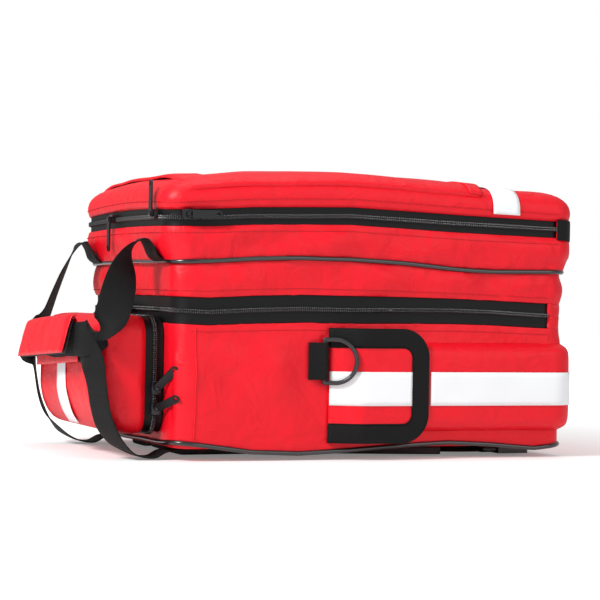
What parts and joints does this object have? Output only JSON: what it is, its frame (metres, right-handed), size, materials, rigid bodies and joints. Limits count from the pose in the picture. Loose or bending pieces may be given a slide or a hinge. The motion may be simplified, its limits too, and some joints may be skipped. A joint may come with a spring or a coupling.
{
  "type": "trauma backpack",
  "caption": "Boxy padded rescue backpack lying on its back, with zipped main and front compartments, side and end pockets, D-rings, reflective bands and carry handles",
  "frame": {"origin": "on the ground under the middle of the body, at the underside of the spine pad", "axes": "+X from the pack's top end to its bottom end, +Y across the pack, +Z from the back panel to the front panel"},
  "size_m": [0.5875, 0.3756, 0.319],
  "materials": {
    "red_fabric": "coated woven cloth",
    "reflective_tape": "silver-white glass-bead tape",
    "slider_metal": "black enamelled die casting",
    "pull_rubber": "moulded soft pull",
    "black_acetal": "moulded, slightly glossy",
    "black_lining": "knitted spacer cloth over foam",
    "stiffener_plastic": "extruded sheet",
    "grey_lining": "brushed loop cloth over foam",
    "zip_tape": "knitted tape with nylon coil",
    "piping_edge": "coated cord edge",
    "mesh": "open net with bound edge",
    "webbing": "woven strap"
  },
  "bodies": {
    "shell": {"back_panel": "red_fabric", "stiffener_sheet": "stiffener_plastic", "spine_pad": "black_lining", "side_panel_near": "red_fabric", "side_panel_far": "red_fabric", "top_end_panel": "red_fabric", "bottom_end_panel": "red_fabric", "main_zip_lower": "zip_tape", "back_piping": "piping_edge", "side_pocket_near": "red_fabric", "side_pocket_far": "red_fabric", "pocket_stripes": "reflective_tape", "ring_tabs": "webbing", "end_zip_inner": "zip_tape", "padded_dividers": "grey_lining", "rear_handle_ends": "webbing", "strap_sockets": "black_acetal"},
    "main_lid": {"front_handle_ends": "webbing", "mid_gusset": "red_fabric", "main_zip_upper": "zip_tape", "mid_piping": "piping_edge", "middle_panel": "grey_lining", "front_gusset_lower": "red_fabric", "front_zip_lower": "zip_tape", "hinge_tabs": "webbing"},
    "front_lid": {"front_zip_upper": "zip_tape", "front_gusset_upper": "red_fabric", "front_panel": "red_fabric", "front_pocket": "red_fabric", "front_stripe": "reflective_tape", "mesh_pocket": "mesh"},
    "flap_near": {"flap_near": "red_fabric", "flap_stripe_near": "reflective_tape"},
    "flap_far": {"flap_far": "red_fabric", "flap_stripe_far": "reflective_tape"},
    "ring_near": {"ring_near": "black_acetal"},
    "ring_far": {"ring_far": "black_acetal"},
    "end_pocket": {"end_pocket": "red_fabric", "end_zip_outer": "zip_tape", "end_stripe": "reflective_tape"},
    "front_handle": {"front_handle": "webbing", "wrap_lining": "black_lining"},
    "wrap_flap": {"wrap_flap": "red_fabric"},
    "rear_handle": {"rear_handle": "webbing"},
    "shoulder_strap_left": {"shoulder_strap_left": "black_lining"},
    "shoulder_strap_right": {"shoulder_strap_right": "black_lining"},
    "front_slider_near": {"front_slider_near": "slider_metal"},
    "front_pull_near": {"front_pull_near": "pull_rubber"},
    "front_slider_corner": {"front_slider_corner": "slider_metal"},
    "front_pull_corner": {"front_pull_corner": "pull_rubber"},
    "front_slider_end": {"front_slider_end": "slider_metal"},
    "front_pull_end": {"front_pull_end": "pull_rubber"},
    "main_slider_a": {"main_slider_a": "slider_metal"},
    "main_pull_a": {"main_pull_a": "pull_rubber"},
    "main_slider_b": {"main_slider_b": "slider_metal"},
    "main_pull_b": {"main_pull_b": "pull_rubber"},
    "end_slider_upper": {"end_slider_upper": "slider_metal"},
    "end_pull_upper": {"end_pull_upper": "pull_rubber"},
    "end_slider_lower": {"end_slider_lower": "slider_metal"},
    "end_pull_lower": {"end_pull_lower": "pull_rubber"}
  },
  "joints": [
    {"name": "main_lid_hinge", "type": "hinge", "parent": "shell", "child": "main_lid", "pos_m": [0.258, 0, 0.165], "axis": [0, 1, 0], "range_deg": [0, 178]},
    {"name": "front_lid_hinge", "type": "hinge", "parent": "main_lid", "child": "front_lid", "pos_m": [0.258, 0, 0.268], "axis": [0, -1, 0], "range_deg": [-170, 0]},
    {"name": "end_pocket_hinge", "type": "hinge", "parent": "shell", "child": "end_pocket", "pos_m": [-0.2505, 0, 0.028], "axis": [0, -1, 0], "range_deg": [0, 22]},
    {"name": "front_handle_lift", "type": "hinge", "parent": "main_lid", "child": "front_handle", "pos_m": [-0.276, 0, 0.226], "axis": [0, 1, 0], "range_deg": [0, 75]},
    {"name": "rear_handle_fold", "type": "hinge", "parent": "shell", "child": "rear_handle", "pos_m": [-0.266, 0, 0.014], "axis": [0, -1, 0], "range_deg": [0, 40]},
    {"name": "wrap_flap_hinge", "type": "hinge", "parent": "front_handle", "child": "wrap_flap", "pos_m": [-0.3323, 0, 0.1503], "axis": [0, 1, 0], "range_deg": [0, 90]},
    {"name": "flap_near_hinge", "type": "hinge", "parent": "shell", "child": "flap_near", "pos_m": [-0.066, -0.1695, 0.0825], "axis": [0, 0, -1], "range_deg": [0, 150]},
    {"name": "flap_far_hinge", "type": "hinge", "parent": "shell", "child": "flap_far", "pos_m": [-0.066, 0.1695, 0.0825], "axis": [0, 0, 1], "range_deg": [0, 150]},
    {"name": "ring_near_swing", "type": "hinge", "parent": "flap_near", "child": "ring_near", "pos_m": [-0.066, -0.1695, 0.1095], "axis": [0, 0, 1], "range_deg": [-150, 0]},
    {"name": "ring_far_swing", "type": "hinge", "parent": "flap_far", "child": "ring_far", "pos_m": [-0.066, 0.1695, 0.1095], "axis": [0, 0, -1], "range_deg": [-150, 0]},
    {"name": "strap_left_hinge", "type": "hinge", "parent": "shell", "child": "shoulder_strap_left", "pos_m": [-0.205, -0.068, 0.0115], "axis": [0, 1, 0], "range_deg": [0, 75]},
    {"name": "strap_right_hinge", "type": "hinge", "parent": "shell", "child": "shoulder_strap_right", "pos_m": [-0.205, 0.068, 0.0115], "axis": [0, 1, 0], "range_deg": [0, 75]},
    {"name": "front_near_travel", "type": "slide", "parent": "main_lid", "child": "front_slider_near", "axis": [1, 0, 0], "range_m": [0, 0.42]},
    {"name": "front_corner_travel", "type": "slide", "parent": "main_lid", "child": "front_slider_corner", "axis": [0, 1, 0], "range_m": [-0.008, 0.1]},
    {"name": "front_end_travel", "type": "slide", "parent": "main_lid", "child": "front_slider_end", "axis": [0, 1, 0], "range_m": [-0.02, 0.05]},
    {"name": "main_a_travel", "type": "slide", "parent": "shell", "child": "main_slider_a", "axis": [0, 1, 0], "range_m": [-0.1, 0]},
    {"name": "main_b_travel", "type": "slide", "parent": "shell", "child": "main_slider_b", "axis": [0, 1, 0], "range_m": [0, 0.1]},
    {"name": "end_upper_travel", "type": "slide", "parent": "shell", "child": "end_slider_upper", "axis": [0, 0, 1], "range_m": [0, 0.045]},
    {"name": "end_lower_travel", "type": "slide", "parent": "shell", "child": "end_slider_lower", "axis": [0, 0, 1], "range_m": [-0.004, 0.004]},
    {"name": "front_pull_near_swing", "type": "hinge", "parent": "front_slider_near", "child": "front_pull_near", "pos_m": [-0.228, -0.172, 0.268], "axis": [0, 0, -1], "range_deg": [0, 165]},
    {"name": "front_pull_corner_swing", "type": "hinge", "parent": "front_slider_corner", "child": "front_pull_corner", "pos_m": [-0.257, -0.127, 0.268], "axis": [0, -1, 0], "range_deg": [0, 100]},
    {"name": "front_pull_end_swing", "type": "hinge", "parent": "front_slider_end", "child": "front_pull_end", "pos_m": [-0.257, 0.035, 0.268], "axis": [0, 1, 0], "range_deg": [0, 165]},
    {"name": "main_pull_a_swing", "type": "hinge", "parent": "main_slider_a", "child": "main_pull_a", "pos_m": [-0.247, 0.008, 0.165], "axis": [0, 0, -1], "range_deg": [0, 165]},
    {"name": "main_pull_b_swing", "type": "hinge", "parent": "main_slider_b", "child": "main_pull_b", "pos_m": [-0.247, 0.032, 0.165], "axis": [0, 0, 1], "range_deg": [0, 165]},
    {"name": "end_pull_upper_swing", "type": "hinge", "parent": "end_slider_upper", "child": "end_pull_upper", "pos_m": [-0.25, -0.137, 0.078], "axis": [0.8572, 0, -0.515], "range_deg": [0, 90]},
    {"name": "end_pull_lower_swing", "type": "hinge", "parent": "end_slider_lower", "child": "end_pull_lower", "pos_m": [-0.25, -0.137, 0.056], "axis": [0.682, 0, -0.7314], "range_deg": [0, 80]}
  ],
  "couplings": [
    {"joint": "rear_handle_fold", "follows": "front_handle_lift", "ratio": 0.53},
    {"joint": "end_pocket_hinge", "follows": "front_handle_lift", "ratio": 0.29}
  ]
}
